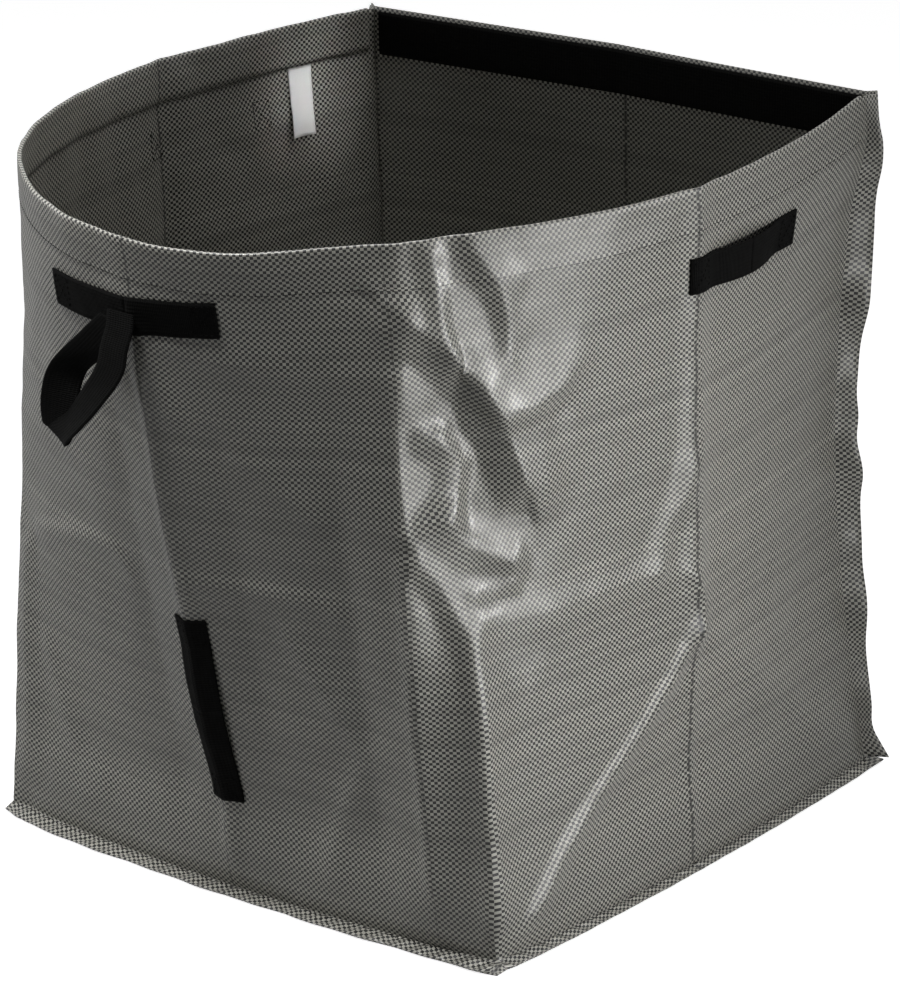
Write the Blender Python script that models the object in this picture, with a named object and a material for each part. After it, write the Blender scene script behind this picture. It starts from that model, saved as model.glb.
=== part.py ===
"""Garden waste bag: a square-based bag of woven cloth whose rim is held in a D by a springy strip.

Metres, +Z up. The origin is on the ground under the middle of the square base. +Y points at the flat
rear wall, -Y at the front wall with the drooping pull handle, and +X at the right wall.
"""

import bisect
import math

import bmesh
import bpy
from mathutils import Vector

# Cloth body
BASE_SIDE = 0.500  # side of the square base, which is also the width of each wall's cloth
RIM_HEIGHT = 0.590  # top of the rim above the ground
CLOTH = 0.0008  # laminated woven cloth
SEAM_ALLOWANCE = 0.018  # cloth turned outwards beyond the rear seams
BASE_LIP = 0.014  # cloth turned outwards beyond the base seam
LAYER_GAP = 0.0003  # between layers that touch
BASE_CORNER_CUT = 0.004  # the base cloth's corners are snipped by this much

# Rim, seen from above
RIM_SPREAD = 0.020  # the widest place stands outside the base by this much on each side
RIM_WIDEST_Y = -0.020  # where the rim is widest
REAR_TAKEN_IN = 0.004  # the rear seams stand inside the base's corners by this much on each side
REAR_LEAN_IN = 0.024  # and in front of the base's rear edge by this much
REAR_FOLD_OUT = 0.012  # the flat wall's middle fold stands behind its seams by this much

# Folds and fullness of the walls at mid height, against straight cloth from the base to the rim
FRONT_FULLNESS = 0.003
FRONT_FOLD_OUT = 0.014
FRONT_FOLD_REACH = 0.0625  # the front wall's middle fold fades out this far to each side
CORNER_FOLD = 0.052  # a second fold runs up the front wall this far from its right corner
CORNER_FOLD_OUT = 0.016
CORNER_BLUNTED = 0.010  # the right front corner is pressed in by this much above the gussets
CORNER_REACH = 0.060  # over this width on each side
SIDE_HOLLOW = 0.007  # the side walls are drawn in by this much between their folds
REAR_FULLNESS = 0.010
GUSSET_OUT = 0.006  # the side walls' folds stand out by this much where their diagonals meet
SEAM_DRAWN_IN = 0.022  # the rear seams bow inwards by this much

# Hem, springy strip, webbing band and label
HEM_DEPTH = 0.038
HEM_CLOSED = 0.004  # height of the stitched lower edge of the hem
HEM_SETBACK = 0.009  # the hem stops this far from the rear seams
STRIP = 0.0015
STRIP_SHORT_OF_HEM = 0.004  # the strip's ends stand back from the hem's ends
BAND_WIDTH = 0.038
BAND_BELOW_RIM = 0.004
BAND_SHORT_OF_SEAM = 0.006
LABEL_WIDTH = 0.025
LABEL_LENGTH = 0.060
LABEL = 0.0004
LABEL_FROM_REAR_SEAM = 0.088  # middle of the label, along the left wall

# Webbing handles
WEB = 0.0015
WEB_WIDTH = 0.030
WEB_SEAT = 0.0005  # between webbing and the cloth under it
SEWN_LENGTH = 0.025  # stitched end of each strap
FINGER_GAP = 0.014  # room behind the middle of a slack strap
CARRY_LENGTH = 0.153
# Middle of each carry handle, towards the flat wall from the side fold
RIGHT_BEHIND_FOLD = 0.060
LEFT_BEHIND_FOLD = 0.050
CARRY_BELOW_RIM = 0.057
PULL_HALF_SPAN = 0.080
PULL_LEFT_OF_FOLD = 0.010  # middle of the pull handle, left of the front fold
PULL_BELOW_RIM = 0.047
LOOP_LENGTH = 0.130
LOOP_ROOT_RADIUS = 0.0016
LOOP_TIP_RADIUS = 0.009
LOOP_SLANT = math.radians(29)  # the loop droops towards the left wall
LOOP_ROOT_DROP = 0.027  # root of the loop below the top edge of the pull handle
TIPPING_LENGTH = 0.168
TIPPING_FOOT = 0.078  # height of the tipping handle's lower end
TIPPING_PAST_FOLD = 0.010  # the part of its width that lies left of the front fold

# Looks
CLOTH_GREY, CLOTH_ROUGHNESS = (0.22, 0.22, 0.20), 0.40
WEBBING_BLACK, WEBBING_ROUGHNESS = (0.012, 0.012, 0.012), 0.75
STRIP_GREY_GREEN, STRIP_ROUGHNESS = (0.62, 0.68, 0.60), 0.45
LABEL_WHITE, LABEL_ROUGHNESS = (0.80, 0.80, 0.80), 0.60

# Fineness of the solids
HALF_WALL_COLUMNS = 8
UPPER_ROWS = 10
OUTLINE_STEPS = 240
HALVINGS = 30
SPAN_STEPS = 12
TIP_STEPS = 10
HEM_FOLD_DEGREES = (60, 120, 180)
SHARP_EDGE = math.radians(30)
RIM_STEP = 0.01  # a direction on the rim is taken this far to each side, in walls
FACET_STEP = 0.002  # and one on the mesh this far, in walls and in metres

# Places along the wrapped cloth, counted in walls from the right rear seam
WALLS = 3
FRONT_FOLD = WALLS / 2
SIDE_FOLD = 0.5

HALF_BASE = BASE_SIDE / 2
RIM_HALF_WIDTH = HALF_BASE + RIM_SPREAD
RIM_SEAM_X = HALF_BASE - REAR_TAKEN_IN
RIM_SEAM_Y = HALF_BASE - REAR_LEAN_IN
WALL_FOOT = CLOTH + LAYER_GAP + CLOTH / 2
HEM_RADIUS = (STRIP + 2 * LAYER_GAP + CLOTH) / 2
WALL_TOP = RIM_HEIGHT - CLOTH / 2 - HEM_RADIUS
HEM_FOOT = RIM_HEIGHT - HEM_DEPTH
GUSSET_TOP = WALL_FOOT + HALF_BASE
SEAM_SPREAD = (CLOTH + LAYER_GAP) / 2
REAR_RIGHT = Vector((1, 1)).normalized()


def clear_scene():
    for obj in list(bpy.data.objects):
        bpy.data.objects.remove(obj)


def material(name, colour, roughness):
    made = bpy.data.materials.new(name)
    made.use_nodes = True
    shader = made.node_tree.nodes["Principled BSDF"]
    shader.inputs["Base Color"].default_value = (*colour, 1)
    shader.inputs["Roughness"].default_value = roughness
    return made


# Plan of the rim and the walls. A place runs from 0 at the right rear seam through 1 and 2 at the front
# corners to 3 at the left rear seam.


def rim_outline(front_reach):
    """Right half of the rim in plan from the front round to the rear seam, and the lengths along it."""
    rear_rise = RIM_SEAM_Y - RIM_WIDEST_Y
    rear_reach = rear_rise / math.sqrt(1 - (RIM_SEAM_X / RIM_HALF_WIDTH) ** 2)
    seam_angle = math.asin(rear_rise / rear_reach)
    points, lengths = [], [0.0]
    for step in range(OUTLINE_STEPS + 1):
        angle = -math.pi / 2 + (math.pi / 2 + seam_angle) * step / OUTLINE_STEPS
        reach = front_reach if angle < 0 else rear_reach
        y = RIM_WIDEST_Y + reach * math.sin(angle)
        points.append(Vector((RIM_HALF_WIDTH * math.cos(angle), y)))
    for before, after in zip(points, points[1:]):
        lengths.append(lengths[-1] + (after - before).length)
    return points, lengths


def rim_for_cloth():
    """The D whose curve is as long as the cloth of the three wrapped walls, found by halving its reach."""
    shortest, longest = 0, FRONT_FOLD * BASE_SIDE
    for _ in range(HALVINGS):
        reach = (shortest + longest) / 2
        points, lengths = rim_outline(reach)
        if lengths[-1] < FRONT_FOLD * BASE_SIDE:
            shortest = reach
        else:
            longest = reach
    return points, lengths


RIM_POINTS, RIM_LENGTHS = rim_for_cloth()


def rim_plan(place):
    """The rim's point above a place along the wrapped cloth."""
    wanted = min(abs(FRONT_FOLD - place) / FRONT_FOLD, 1) * RIM_LENGTHS[-1]
    i = min(max(bisect.bisect_right(RIM_LENGTHS, wanted), 1), len(RIM_LENGTHS) - 1)
    share = (wanted - RIM_LENGTHS[i - 1]) / (RIM_LENGTHS[i] - RIM_LENGTHS[i - 1])
    point = RIM_POINTS[i - 1].lerp(RIM_POINTS[i], share)
    return point if place <= FRONT_FOLD else Vector((-point.x, point.y))


def rim_outward(place):
    along = rim_plan(min(place + RIM_STEP, WALLS)) - rim_plan(max(place - RIM_STEP, 0))
    return Vector((-along.y, along.x)).normalized()


def wall_of(place):
    """The wall's number, 0 right, 1 front or 2 left, and the share of its width passed."""
    number = min(max(int(place), 0), WALLS - 1)
    return number, place - number


def base_plan(place):
    number, share = wall_of(place)
    run = share * BASE_SIDE
    return (
        Vector((HALF_BASE, HALF_BASE - run)),
        Vector((HALF_BASE - run, -HALF_BASE)),
        Vector((-HALF_BASE, -HALF_BASE + run)),
    )[number]


def base_outward(place):
    return (Vector((1, 0)), Vector((0, -1)), Vector((-1, 0)))[wall_of(place)[0]]


def seam_direction(place):
    """Level direction in which the nearer rear seam's allowance stands out."""
    return REAR_RIGHT if place < FRONT_FOLD else Vector((-REAR_RIGHT.x, REAR_RIGHT.y))


def under_hem(height):
    """Share of the way from the wall's foot to the hem, above which the cloth is held straight."""
    return min((height - WALL_FOOT) / (HEM_FOOT - WALL_FOOT), 1)


def tent(distance, reach):
    """1 on a fold's line, falling straight to 0 at its reach."""
    return max(1 - abs(distance) / reach, 0)


def blunted(place, height):
    """How far the right front corner is pressed in above the gussets."""
    above = max((height - GUSSET_TOP) / (HEM_FOOT - GUSSET_TOP), 0)
    pressed = math.sin(math.pi * min(above, 1))
    return CORNER_BLUNTED * tent((place - 1) * BASE_SIDE, CORNER_REACH) * pressed


def front_fullness(share):
    """Fullness of the front wall at mid height, with its two folds."""
    run = share * BASE_SIDE
    swell = FRONT_FULLNESS * math.sin(math.pi * tent(run - HALF_BASE, HALF_BASE))
    middle_fold = FRONT_FOLD_OUT * tent(run - HALF_BASE, FRONT_FOLD_REACH)
    return swell + middle_fold + CORNER_FOLD_OUT * tent(run - CORNER_FOLD, CORNER_FOLD)


def fullness(place, height):
    """How far the cloth stands outside the straight line from base to rim."""
    number, share = wall_of(place)
    level = under_hem(height)
    if number == 1:
        return front_fullness(share) * math.sin(math.pi * level) - blunted(place, height)
    to_fold = tent(share - SIDE_FOLD, SIDE_FOLD)
    fold_level = under_hem(GUSSET_TOP)
    diagonal = fold_level * to_fold
    if level <= diagonal:
        return GUSSET_OUT * level / fold_level - blunted(place, height)
    above = (level - diagonal) / (1 - diagonal)
    hollow = SIDE_HOLLOW * math.sqrt(math.sin(math.pi * to_fold)) * math.sin(math.pi * above)
    return GUSSET_OUT * to_fold * (1 - above) - hollow - blunted(place, height)


def drawn_in(place, height):
    """How far the wrapped cloth is drawn in beside the nearer rear seam."""
    to_seam = min(min(place, WALLS - place) / SIDE_FOLD, 1)
    return SEAM_DRAWN_IN * math.sin(math.pi * under_hem(height)) * (1 - to_seam) ** 2


def wrap_point(place, height):
    """The middle of the cloth of the right, front and left walls."""
    level = (height - WALL_FOOT) / (WALL_TOP - WALL_FOOT)
    plan = base_plan(place).lerp(rim_plan(place), level)
    outward = base_outward(place).lerp(rim_outward(place), level).normalized()
    plan += outward * fullness(place, height)
    plan -= seam_direction(place) * drawn_in(place, height)
    return Vector((plan.x, plan.y, height))


def rear_point(share, height):
    """The middle of the flat rear wall's cloth, from 0 at the left seam to 1 at the right one."""
    level = (height - WALL_FOOT) / (WALL_TOP - WALL_FOOT)
    from_middle = abs(share - 0.5) * 2
    foot = Vector((HALF_BASE * (2 * share - 1), HALF_BASE))
    rim = Vector((RIM_SEAM_X * (2 * share - 1), RIM_SEAM_Y + REAR_FOLD_OUT * (1 - from_middle)))
    plan = foot.lerp(rim, level)
    plan.y += REAR_FULLNESS * math.sin(math.pi * under_hem(height)) * math.sin(math.pi * from_middle)
    drawn = SEAM_DRAWN_IN * math.sin(math.pi * under_hem(height)) * from_middle**2
    plan -= seam_direction(WALLS * (1 - share)) * drawn
    return Vector((plan.x, plan.y, height))


# Sheets are grids of flat triangles. In the first half of each wall their diagonals climb away from the
# right rear seam and in the second half they fall, so that the side walls' folds run along them.


def half_wall_lines(walls):
    return [i / (2 * HALF_WALL_COLUMNS) for i in range(2 * HALF_WALL_COLUMNS * walls + 1)]


def wall_rows():
    """Square cells up to the top of the folded gusset, rows up to the hem, and the hem's one row."""
    lower = [WALL_FOOT + HALF_BASE * i / HALF_WALL_COLUMNS for i in range(HALF_WALL_COLUMNS)]
    upper = [GUSSET_TOP + (HEM_FOOT - GUSSET_TOP) * i / UPPER_ROWS for i in range(UPPER_ROWS + 1)]
    return lower + upper + [WALL_TOP]


HEM_START = HEM_SETBACK / BASE_SIDE
ROWS = wall_rows()
COLUMNS = sorted(half_wall_lines(WALLS) + [HEM_START, WALLS - HEM_START, 1 + CORNER_FOLD / BASE_SIDE])


def falls(left, right):
    """Whether the diagonal of the cells between these two columns falls."""
    return (left + right) / 2 % 1 > 0.5


def cell(values, value):
    """The two neighbouring values of a sorted list that hold this one, and its share between them."""
    i = min(max(bisect.bisect_right(values, value), 1), len(values) - 1)
    return values[i - 1], values[i], (value - values[i - 1]) / (values[i] - values[i - 1])


def facet_point(place, height):
    """A point of the wrapped cloth's flat triangles, on which sewn pieces are seated."""
    left, right, across = cell(COLUMNS, place)
    low, high, up = cell(ROWS, height)
    if falls(left, right):
        left, right, across = right, left, 1 - across
    start = wrap_point(left, low)
    far = wrap_point(right, high)
    turn = wrap_point(right, low) if across > up else wrap_point(left, high)
    first, second = (across, up) if across > up else (up, across)
    return start + (turn - start) * first + (far - turn) * second


def facet_outward(place, height):
    along = facet_point(place + FACET_STEP, height) - facet_point(place - FACET_STEP, height)
    up = facet_point(place, height + FACET_STEP) - facet_point(place, height - FACET_STEP)
    return up.cross(along).normalized()


def lines_between(first, last, lines):
    """The two ends of a stretch and the mesh lines between them."""
    return [first] + [line for line in lines if first < line < last] + [last]


def sewn_sheet(columns, rows, place, falling=falls, absent=None):
    """A grid whose corners are moved to place(column, row), without its absent cells."""
    mesh = bmesh.new()
    across, up = len(columns) - 1, len(rows) - 1
    bmesh.ops.create_grid(mesh, x_segments=across, y_segments=up, size=0.5)
    corners = {}
    for vert in mesh.verts:
        i = round((vert.co.x + 0.5) * across)
        j = round((vert.co.y + 0.5) * up)
        vert.co = place(columns[i], rows[j])
        corners[i, j] = vert
    unwanted = []
    for i in range(across):
        for j in range(up):
            near, far = corners[i, j], corners[i + 1, j + 1]
            face = (set(near.link_faces) & set(far.link_faces)).pop()
            if absent and absent(i, j):
                unwanted.append(face)
                continue
            if falling(columns[i], columns[i + 1]):
                near, far = corners[i + 1, j], corners[i, j + 1]
            bmesh.utils.face_split(face, near, far)
    bmesh.ops.delete(mesh, geom=unwanted, context="FACES")
    return mesh


def finished(name, mesh, look, thickness):
    """An object from a sheet's mesh, made solid equally to both sides."""
    bmesh.ops.recalc_face_normals(mesh, faces=mesh.faces)
    data = bpy.data.meshes.new(name)
    mesh.to_mesh(data)
    mesh.free()
    data.shade_smooth()
    data.set_sharp_from_angle(angle=SHARP_EDGE)
    data.materials.append(look)
    obj = bpy.data.objects.new(name, data)
    bpy.context.scene.collection.objects.link(obj)
    solid = obj.modifiers.new("thickness", "SOLIDIFY")
    solid.thickness = thickness
    solid.offset = 0
    return obj


def seated_piece(name, places, heights, offset, thickness, look):
    """A piece that lies on the wrapped cloth's triangles, offset outwards by this much."""
    outward = facet_outward(sum(places) / 2, sum(heights) / 2)

    def on_wall(place, height):
        return facet_point(place, height) + outward * offset

    mesh = sewn_sheet(lines_between(*places, COLUMNS), lines_between(*heights, ROWS), on_wall)
    return finished(name, mesh, look, thickness)


# Cloth pieces


def base_edge_outward(plan):
    """Outwards across the base's edge, and longer along the mitre at its corners."""
    return Vector([math.copysign(abs(side) > HALF_BASE - LAYER_GAP, side) for side in plan])


def beside_seam(point, place, last, spread):
    """Moves a point at a rear seam off the seam's plane, and one of its allowance outwards along it."""
    inner = min(max(place, 0), last)
    if 0 < inner < last:
        return point
    outward = Vector((math.copysign(1, point.x), 1)).normalized()
    plan = outward * abs(place - inner) * BASE_SIDE + Vector((outward.x, -outward.y)) * spread
    return point + plan.to_3d()


def wrap_place(place, row):
    """Where a corner of the wrapped cloth's mesh lies, for a row's height and distance inside the wall."""
    height, inside = row
    inner = min(max(place, 0), WALLS)
    point = wrap_point(inner, min(height, WALL_TOP))
    point.z = height
    across = base_edge_outward(base_plan(inner)) if inside < 0 else rim_outward(inner)
    return beside_seam(point - across.to_3d() * inside, place, WALLS, SEAM_SPREAD)


def hem_rows():
    """Rows of the hem from the top of the wall over the strip and down to the stitched edge inside."""
    fold = []
    for degrees in HEM_FOLD_DEGREES:
        angle = math.radians(degrees)
        fold.append((WALL_TOP + HEM_RADIUS * math.sin(angle), HEM_RADIUS * (1 - math.cos(angle))))
    return fold + [(HEM_FOOT + HEM_CLOSED, 2 * HEM_RADIUS), (HEM_FOOT, CLOTH + LAYER_GAP)]


def wrap_cloth(look):
    """Right, front and left walls in one piece, with the hem turned in and the seam allowances turned out."""
    allowance = SEAM_ALLOWANCE / BASE_SIDE
    columns = [-allowance] + COLUMNS + [WALLS + allowance]
    rows = [(WALL_FOOT, -BASE_LIP)] + [(height, 0) for height in ROWS] + hem_rows()
    last = len(columns) - 2
    top = len(ROWS)

    def absent(i, j):
        in_allowance = i in (0, last)
        beside_hem = i in (1, last - 1)
        return in_allowance and j < 1 or (in_allowance or beside_hem) and j >= top

    return finished("wrap_cloth", sewn_sheet(columns, rows, wrap_place, absent=absent), look, CLOTH)


def rear_place(share, row):
    height, inside = row
    inner = min(max(share, 0), 1)
    point = rear_point(inner, height)
    if inside < 0:
        point -= base_edge_outward(point.to_2d()).to_3d() * inside
    return beside_seam(point, share, 1, -SEAM_SPREAD)


def rear_cloth(look):
    """The flat wall, a panel of its own, with its allowances turned out against the wrapped cloth's."""
    allowance = SEAM_ALLOWANCE / BASE_SIDE
    columns = [-allowance] + half_wall_lines(1) + [1 + allowance]
    heights = ROWS[:-1] + [RIM_HEIGHT]
    rows = [(WALL_FOOT, -BASE_LIP)] + [(height, 0) for height in heights]
    last = len(columns) - 2

    def absent(i, j):
        return i in (0, last) and j < 1

    return finished("rear_cloth", sewn_sheet(columns, rows, rear_place, absent=absent), look, CLOTH)


def base_cloth(look):
    """The square base, which reaches out under the walls' turned-out lower edges."""
    mesh = bmesh.new()
    bmesh.ops.create_grid(mesh, x_segments=1, y_segments=1, size=HALF_BASE + BASE_LIP)
    bmesh.ops.bevel(
        mesh, geom=mesh.verts[:], offset=BASE_CORNER_CUT, affect="VERTICES", segments=1, profile=0.5
    )
    bmesh.ops.translate(mesh, verts=mesh.verts, vec=(0, 0, CLOTH / 2))
    return finished("base_cloth", mesh, look, CLOTH)


def rim_strip(look):
    """The springy strip inside the hem, which pushes the rim out into its D."""
    inside = CLOTH / 2 + LAYER_GAP + STRIP / 2
    start = (HEM_SETBACK + STRIP_SHORT_OF_HEM) / BASE_SIDE
    foot = HEM_FOOT + HEM_CLOSED + LAYER_GAP

    def in_hem(place, height):
        return facet_point(place, height) - rim_outward(place).to_3d() * inside

    columns = lines_between(start, WALLS - start, COLUMNS)
    return finished("rim_strip", sewn_sheet(columns, (foot, WALL_TOP), in_hem), look, STRIP)


def rear_band(look):
    """Webbing sewn along the inside of the flat wall's upper edge."""
    inside = CLOTH / 2 + LAYER_GAP + WEB / 2
    short = BAND_SHORT_OF_SEAM / BASE_SIDE
    top = RIM_HEIGHT - BAND_BELOW_RIM

    def on_band(share, height):
        return rear_point(share, height) - Vector((0, inside, 0))

    columns = lines_between(short, 1 - short, half_wall_lines(1))
    rows = lines_between(top - BAND_WIDTH, top, ROWS[:-1])
    return finished("rear_band", sewn_sheet(columns, rows, on_band), look, WEB)


def sewn_label(look):
    """Bare label sewn under the hem inside the left wall, near the rear seam."""
    middle = WALLS - LABEL_FROM_REAR_SEAM / BASE_SIDE
    half = LABEL_WIDTH / 2 / BASE_SIDE
    top = HEM_FOOT - LAYER_GAP - CLOTH / 2
    inside = -(CLOTH / 2 + WEB_SEAT + LABEL / 2)
    heights = (top - LABEL_LENGTH, top)
    return seated_piece("sewn_label", (middle - half, middle + half), heights, inside, LABEL, look)


# Webbing handles


def sewn_tab(name, places, heights, look):
    """A stitched stretch of webbing that lies on the wall."""
    return seated_piece(name, places, heights, CLOTH / 2 + WEB_SEAT + WEB / 2, WEB, look)


def hinge(name, pivot, axis, piece):
    """An empty whose Z runs along the line that the piece swings about. A positive turn lifts it."""
    empty = bpy.data.objects.new(name, None)
    bpy.context.scene.collection.objects.link(empty)
    turn = axis.to_track_quat("Z", "Y").to_matrix().to_4x4()
    turn.translation = pivot
    empty.matrix_world = turn
    piece.parent = empty
    piece.matrix_parent_inverse = turn.inverted()


def bow_over_wall(ends, outward):
    """The bow that takes a strap's edge over the wall between its ends, each a (place, height) pair."""
    start, end = [facet_point(*pair) for pair in ends]
    bow = 0
    for step in range(1, SPAN_STEPS):
        share = step / SPAN_STEPS
        place, height = [first + (last - first) * share for first, last in zip(*ends)]
        rise = (facet_point(place, height) - start.lerp(end, share)).dot(outward)
        bow = max(bow, rise / math.sin(math.pi * share))
    return bow


def free_strap(name, hinge_edge, loose_edge, look, widths=(0, 1)):
    """The webbing between two sewn tabs, bowed off the wall. It swings about its hinge edge.

    Each edge is two (place, height) pairs, where the strap leaves one tab and meets the other. The widths
    are its edges and creases, as shares of its width from the hinge edge.
    """
    middle = [sum(pair[k] for pair in hinge_edge + loose_edge) / 4 for k in (0, 1)]
    outward = facet_outward(*middle)
    seat = CLOTH / 2 + WEB_SEAT + WEB / 2
    ends = {}
    bow = FINGER_GAP
    for width in widths:
        line = []
        for hinge_pair, loose_pair in zip(hinge_edge, loose_edge):
            line.append([near + (far - near) * width for near, far in zip(hinge_pair, loose_pair)])
        ends[width] = [facet_point(*pair) + outward * seat for pair in line]
        bow = max(bow, bow_over_wall(line, outward) + FINGER_GAP)
    held = ends[0]
    span = (held[1] - held[0]).length
    end_gap = (LAYER_GAP + math.pi * bow / span * WEB) / span

    def on_strap(along, width):
        start, end = ends[width]
        shortened = end_gap + (1 - 2 * end_gap) * along
        return start.lerp(end, shortened) + outward * bow * math.sin(math.pi * along)

    steps = [step / SPAN_STEPS for step in range(SPAN_STEPS + 1)]
    strap = finished(name, sewn_sheet(steps, widths, on_strap), look, WEB)
    axis = held[1] - held[0]
    if axis.dot((ends[1][0] - held[0]).cross(outward)) < 0:
        axis.negate()
    pivot = held[0].lerp(held[1], 0.5) - outward * WEB / 2
    hinge(name + "_hinge", pivot, axis, strap)


def carry_handle(side, behind_fold, look):
    """A handle across a side wall: two tabs and the strap between them, which lifts about its top edge."""
    top = RIM_HEIGHT - CARRY_BELOW_RIM
    heights = (top - WEB_WIDTH, top)
    middle = SIDE_FOLD - behind_fold / BASE_SIDE
    half = CARRY_LENGTH / 2 / BASE_SIDE
    sewn = SEWN_LENGTH / BASE_SIDE
    stops = [middle - half, middle - half + sewn, middle + half - sewn, middle + half]
    names = ["rear", "front"]
    if side == "left":
        stops = [WALLS - stop for stop in reversed(stops)]
        names.reverse()
    sewn_tab(f"{side}_handle_{names[0]}_tab", (stops[0], stops[1]), heights, look)
    sewn_tab(f"{side}_handle_{names[1]}_tab", (stops[2], stops[3]), heights, look)
    held = ((stops[2], top), (stops[1], top))
    loose = ((stops[2], heights[0]), (stops[1], heights[0]))
    free_strap(f"{side}_handle_strap", held, loose, look)


def tipping_handle(look):
    """The upright handle low on the front wall, across the middle fold. It lifts about its left edge."""
    near = FRONT_FOLD + TIPPING_PAST_FOLD / BASE_SIDE
    far = near - WEB_WIDTH / BASE_SIDE
    foot, head = TIPPING_FOOT, TIPPING_FOOT + TIPPING_LENGTH
    low, high = foot + SEWN_LENGTH, head - SEWN_LENGTH
    sewn_tab("tipping_handle_lower_tab", (far, near), (foot, low), look)
    sewn_tab("tipping_handle_upper_tab", (far, near), (high, head), look)
    held = ((near, high), (near, low))
    loose = ((far, high), (far, low))
    on_fold = TIPPING_PAST_FOLD / WEB_WIDTH
    free_strap("tipping_handle_strap", held, loose, look, (0, on_fold, 1))


def pull_handle(look):
    """The long handle at the middle of the front: two runs on the wall and their slack as a loop."""
    top = RIM_HEIGHT - PULL_BELOW_RIM
    heights = (top - WEB_WIDTH, top)
    middle = FRONT_FOLD + PULL_LEFT_OF_FOLD / BASE_SIDE
    half_span = PULL_HALF_SPAN / BASE_SIDE
    split = LAYER_GAP / BASE_SIDE
    sewn_tab("pull_handle_right_run", (middle - half_span, middle - split), heights, look)
    sewn_tab("pull_handle_left_run", (middle + split, middle + half_span), heights, look)
    pull_loop(top - LOOP_ROOT_DROP, look)


def run_front(point):
    """How far forward the pull handle's runs stand behind this point."""
    place = FRONT_FOLD - point.x / BASE_SIDE
    on_cloth = facet_point(place, point.z)
    return -on_cloth.y + (CLOTH / 2 + WEB_SEAT + WEB) / abs(facet_outward(place, point.z).y)


def pull_loop(root_height, look):
    """A closed loop of webbing, pinched at its root and rounded at its tip, that hangs beside the front fold.

    It swings about its pinched end, which lies across its length and so slants as much as the loop does.
    """
    down = Vector((-math.sin(LOOP_SLANT), 0, -math.cos(LOOP_SLANT)))
    across = Vector((math.cos(LOOP_SLANT), 0, -math.sin(LOOP_SLANT)))
    root = Vector((-PULL_LEFT_OF_FOLD, 0, root_height))
    behind = 0
    for step in range(SPAN_STEPS + 1):
        end = root + across * WEB_WIDTH * (step / SPAN_STEPS - 0.5)
        behind = max(behind, run_front(end - down * (LOOP_ROOT_RADIUS + WEB)))
    root.y = -(behind + LAYER_GAP + WEB / 2 + LOOP_ROOT_RADIUS)
    outward = Vector((0, -1, 0))
    tip_centre = LOOP_LENGTH - LOOP_TIP_RADIUS
    lean = math.asin((LOOP_TIP_RADIUS - LOOP_ROOT_RADIUS) / tip_centre)
    root_turn = math.pi - 2 * lean
    tip_turn = math.pi + 2 * lean
    turns = []
    for step in range(TIP_STEPS + 1):
        turns.append((0, LOOP_ROOT_RADIUS, math.pi + lean + root_turn * step / TIP_STEPS))
    for step in range(TIP_STEPS + 1):
        turns.append((tip_centre, LOOP_TIP_RADIUS, tip_turn * step / TIP_STEPS - lean))
    turns.append(turns[0])

    def on_loop(turn, width):
        centre, radius, angle = turn
        drop = centre + radius * math.sin(angle)
        out = radius * math.cos(angle)
        return root + down * drop + outward * out + across * WEB_WIDTH * (width - 0.5)

    mesh = sewn_sheet(turns, (0, 1), on_loop, falling=lambda before, after: False)
    bmesh.ops.remove_doubles(mesh, verts=mesh.verts, dist=LAYER_GAP)
    loop = finished("pull_handle_loop", mesh, look, WEB)
    hinge("pull_handle_loop_hinge", root, -across, loop)


def build():
    clear_scene()
    cloth = material("woven cloth", CLOTH_GREY, CLOTH_ROUGHNESS)
    webbing = material("black webbing", WEBBING_BLACK, WEBBING_ROUGHNESS)
    springy = material("springy strip", STRIP_GREY_GREEN, STRIP_ROUGHNESS)
    white = material("label", LABEL_WHITE, LABEL_ROUGHNESS)
    wrap_cloth(cloth)
    rear_cloth(cloth)
    base_cloth(cloth)
    rim_strip(springy)
    rear_band(webbing)
    sewn_label(white)
    carry_handle("right", RIGHT_BEHIND_FOLD, webbing)
    carry_handle("left", LEFT_BEHIND_FOLD, webbing)
    pull_handle(webbing)
    tipping_handle(webbing)


build()
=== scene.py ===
"""Dresses the garden waste bag in its woven cloth, hem, webbing handles and label. Metres, +Z up."""

import bisect
import math

import bmesh
import bpy
from mathutils import Matrix, Vector, noise


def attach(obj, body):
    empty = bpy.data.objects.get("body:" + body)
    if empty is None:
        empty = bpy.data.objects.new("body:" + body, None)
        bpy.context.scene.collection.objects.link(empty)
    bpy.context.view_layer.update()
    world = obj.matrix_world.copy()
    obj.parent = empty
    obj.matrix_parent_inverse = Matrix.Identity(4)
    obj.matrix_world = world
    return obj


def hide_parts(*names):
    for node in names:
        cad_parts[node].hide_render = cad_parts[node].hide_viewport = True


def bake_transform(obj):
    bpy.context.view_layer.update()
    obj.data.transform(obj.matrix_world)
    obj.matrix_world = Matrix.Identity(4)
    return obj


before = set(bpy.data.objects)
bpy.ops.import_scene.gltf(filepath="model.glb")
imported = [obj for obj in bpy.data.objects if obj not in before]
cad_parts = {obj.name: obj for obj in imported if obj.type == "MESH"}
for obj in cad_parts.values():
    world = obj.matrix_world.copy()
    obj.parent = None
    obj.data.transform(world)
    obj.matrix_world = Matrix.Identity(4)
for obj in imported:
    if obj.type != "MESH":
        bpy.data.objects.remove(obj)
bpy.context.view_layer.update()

# Camera, in the photograph's frame of 900 by 984, and the studio round it
AZIMUTH, ELEVATION, ROLL = math.radians(37.68), math.radians(20.87), math.radians(-0.11)
CAMERA_DISTANCE, CAMERA_RIGHT, CAMERA_UP = 5.345, 0.00625, 0.2429
LENS, SENSOR = 236.9, 36
NEAR_CLIP, FAR_CLIP = 0.1, 60
FLOOR_HALF = 12
FLOOR_IN_GLOSS, ROOM_IN_GLOSS = 0.15, 0.45

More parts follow.
